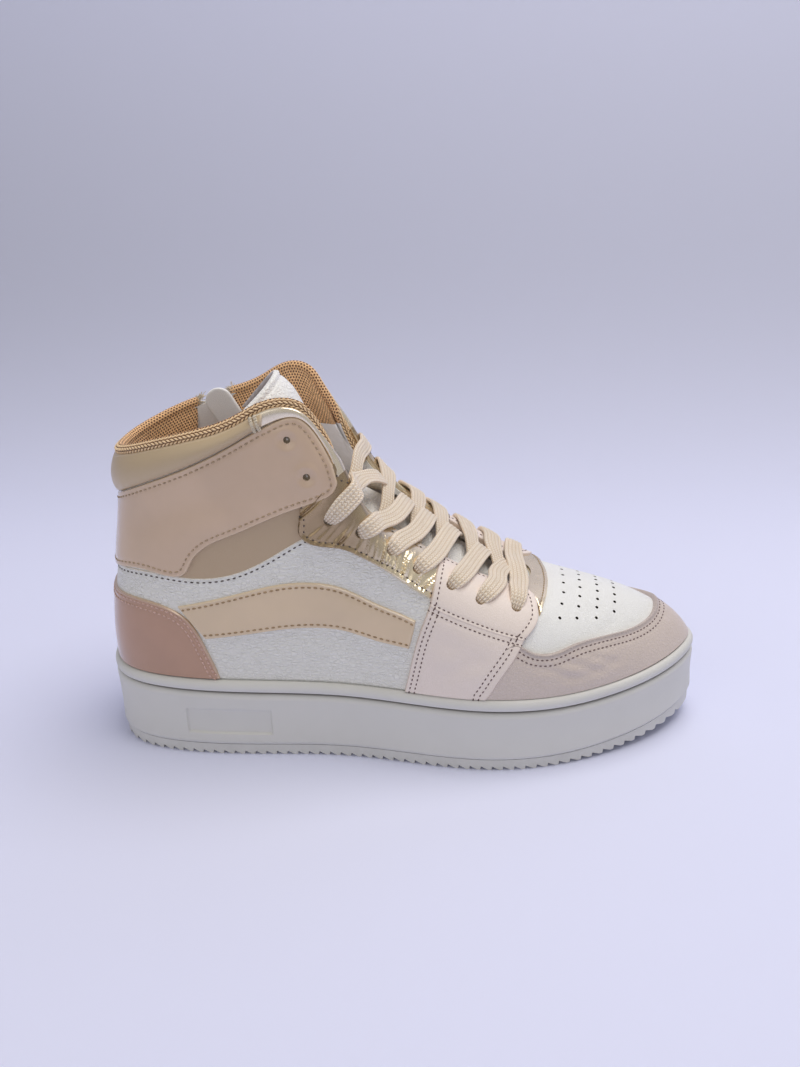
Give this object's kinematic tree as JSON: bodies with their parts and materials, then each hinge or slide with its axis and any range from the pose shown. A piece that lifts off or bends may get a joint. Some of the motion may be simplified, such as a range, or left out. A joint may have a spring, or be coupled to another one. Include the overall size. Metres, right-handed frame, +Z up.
{
  "type": "high-top sneaker",
  "caption": "Right high-top lace-up sneaker with a medial side zip, padded collar, panelled leather upper and thick rubber cupsole, hollow and standing empty on its sole.",
  "frame": {"origin": "on the floor under the middle of the sole's outline", "axes": "+X towards the toe, +Y towards the medial (inner) side, +Z up"},
  "size_m": [0.265, 0.0946, 0.165],
  "materials": {
    "off_white_rubber": "matte moulded rubber",
    "insole_cloth": "matte cloth",
    "white_leather": "soft grained, satin",
    "pink_leather": "smooth, satin",
    "gold_leather": "crinkled metallic foil",
    "beige_patent": "glossy patent",
    "soft_beige": "satin, padded",
    "rose_patent": "pearly patent",
    "tan_knit": "coarse knitted",
    "zip_cloth": "woven tape with a moulded coil",
    "white_enamel": "gloss enamel",
    "cream_lace": "flat braid"
  },
  "bodies": {
    "shoe": {"outsole": "off_white_rubber", "cupsole": "off_white_rubber", "insole": "insole_cloth", "upper": "white_leather", "tongue": "white_leather", "toe_cap": "pink_leather", "forefoot_panel_lateral": "pink_leather", "forefoot_panel_medial": "pink_leather", "eyestay_front_lateral": "pink_leather", "eyestay_front_medial": "pink_leather", "throat_tab": "gold_leather", "eyestay_rear_lateral": "gold_leather", "eyestay_rear_medial": "gold_leather", "ankle_strap": "beige_patent", "ankle_strap_medial": "beige_patent", "side_band": "beige_patent", "collar_pad": "soft_beige", "heel_counter": "rose_patent", "collar_binding": "tan_knit", "collar_binding_medial": "tan_knit", "zip_tape": "zip_cloth", "zip_slider": "white_enamel", "lace_bar": "cream_lace", "lace_cross_1": "cream_lace", "lace_cross_2": "cream_lace", "lace_cross_3": "cream_lace", "lace_cross_4": "cream_lace", "lace_cross_5": "cream_lace", "lace_cross_6": "cream_lace"},
    "pull": {"zip_pull": "white_enamel"}
  },
  "joints": [
    {"name": "pull_hinge", "type": "hinge", "parent": "shoe", "child": "pull", "pos_m": [-0.0819, 0.03673, 0.13792], "axis": [0.834, 0.0793, 0.546], "range_deg": [0, 150]}
  ]
}
